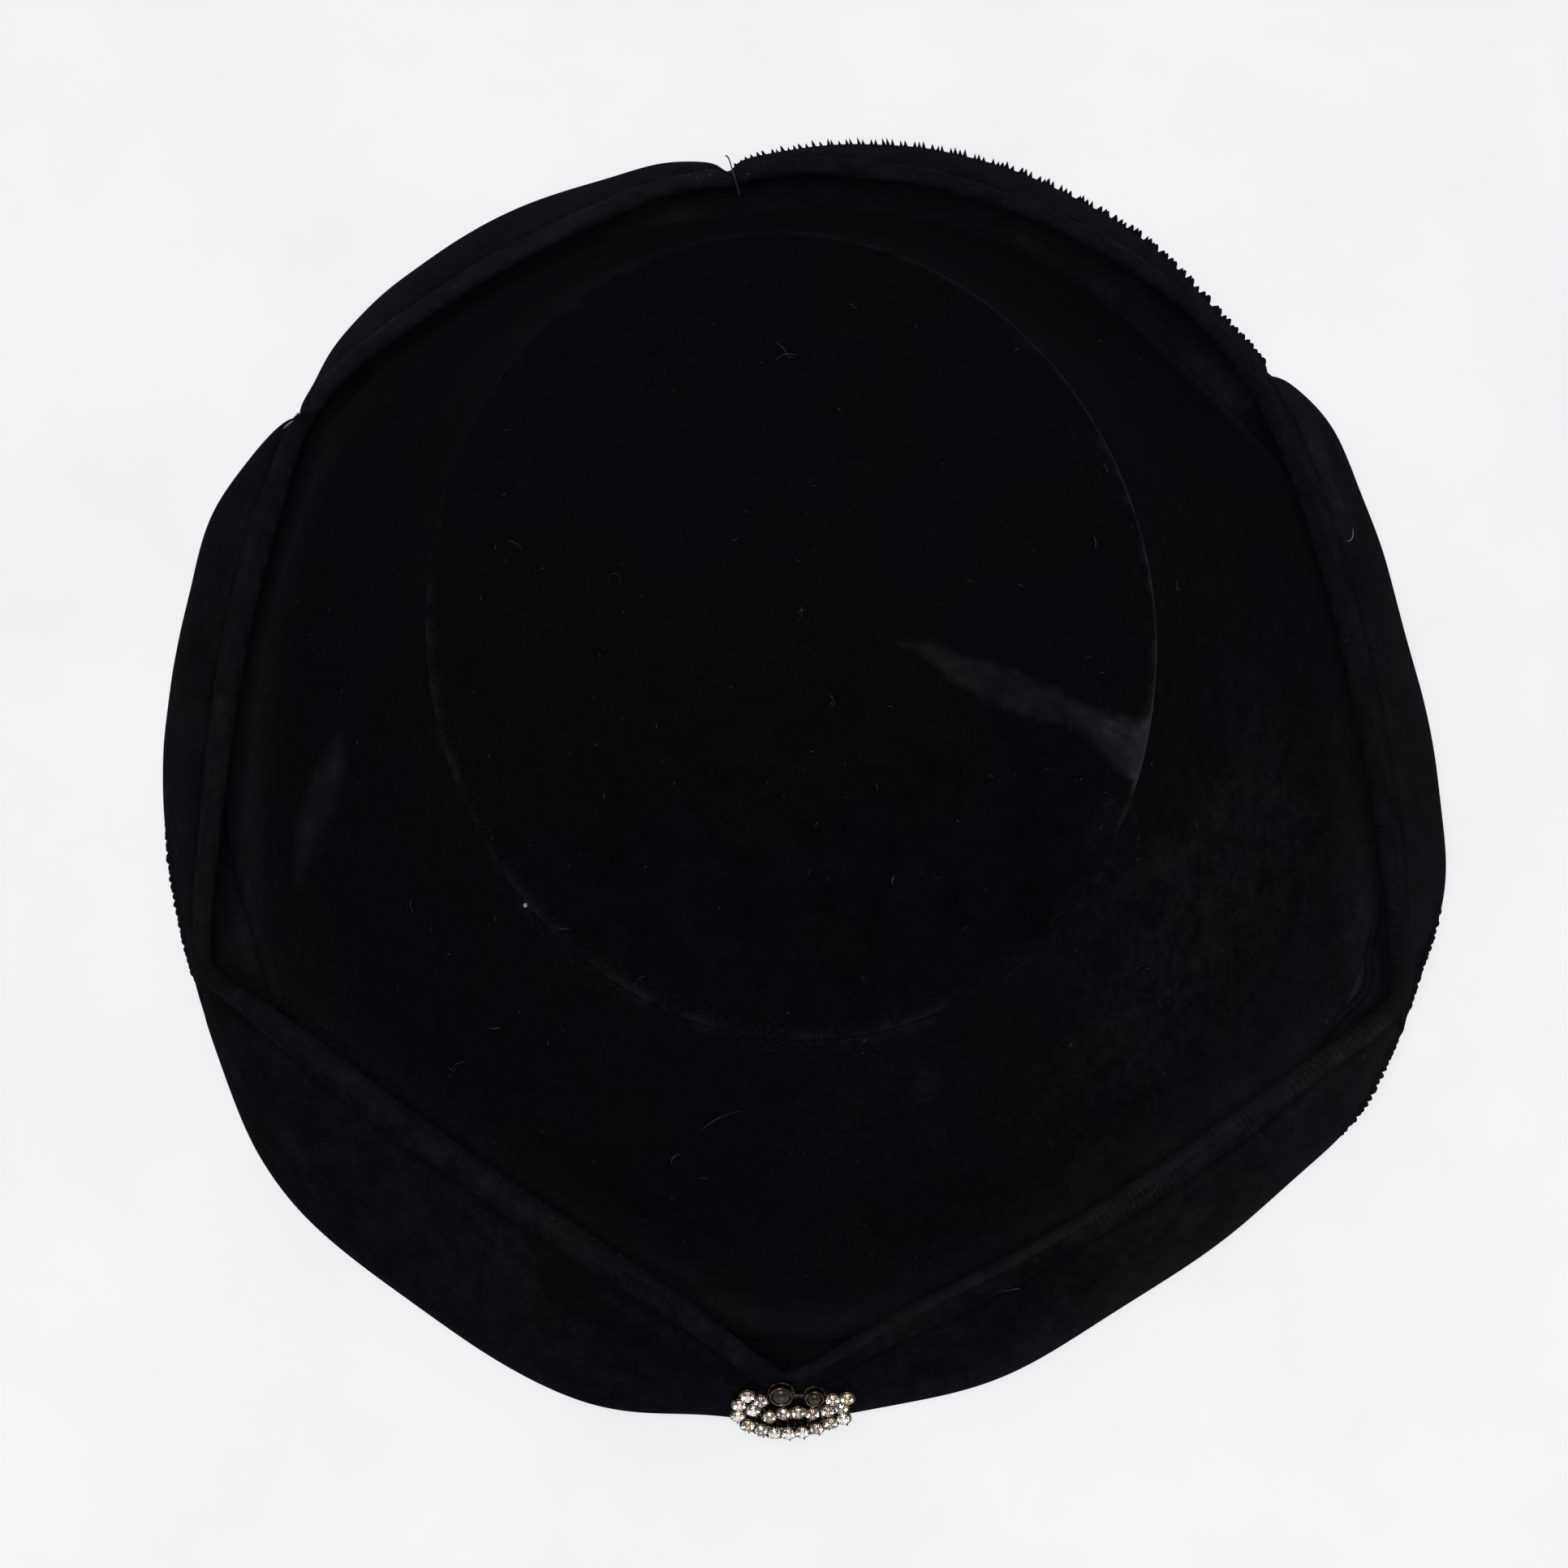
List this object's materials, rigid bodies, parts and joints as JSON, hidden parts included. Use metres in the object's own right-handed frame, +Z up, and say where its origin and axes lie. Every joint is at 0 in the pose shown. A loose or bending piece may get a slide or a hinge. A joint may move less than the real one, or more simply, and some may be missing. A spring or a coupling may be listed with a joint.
{
  "type": "velvet beret",
  "caption": "Black velvet beret with an oval flat tip, flared sides, a turned-up notched brim and a small clear-stone spray brooch at the front.",
  "frame": {"origin": "middle of the bottom of the whole hat's box, on the surface that the hat lies on", "axes": "+Z up through the tip, -Y to the front of the hat where the brooch is, +X to the right seen from the front"},
  "size_m": [0.2806, 0.297, 0.088],
  "materials": {
    "velvet": "deep black cotton velvet, soft short pile with a faint blue-grey sheen on folds",
    "white_metal": "bright silver-coloured cast metal, slightly warm and tarnished between the stones",
    "clear_stone": "clear faceted glass stones with foiled backs",
    "smoky_stone": "dark smoky glass cabochons"
  },
  "bodies": {
    "root": {"crown_tip": "velvet", "crown_side": "velvet", "underbrim": "velvet", "cuff_front_right": "velvet", "cuff_right": "velvet", "cuff_back_right": "velvet", "cuff_back_left": "velvet", "cuff_left": "velvet", "cuff_front_left": "velvet", "brooch_setting": "white_metal", "brooch_pin": "white_metal", "stone_01": "clear_stone", "stone_02": "clear_stone", "stone_03": "clear_stone", "stone_04": "clear_stone", "stone_05": "clear_stone", "stone_06": "clear_stone", "stone_07": "clear_stone", "stone_08": "clear_stone", "stone_09": "clear_stone", "stone_10": "clear_stone", "stone_11": "clear_stone", "stone_12": "clear_stone", "stone_13": "clear_stone", "stone_14": "clear_stone", "stone_15": "clear_stone", "stone_16": "clear_stone", "stone_17": "clear_stone", "stone_18": "clear_stone", "stone_19": "clear_stone", "stone_20": "clear_stone", "stone_21": "clear_stone", "cabochon_left": "smoky_stone", "cabochon_right": "smoky_stone"}
  },
  "joints": []
}
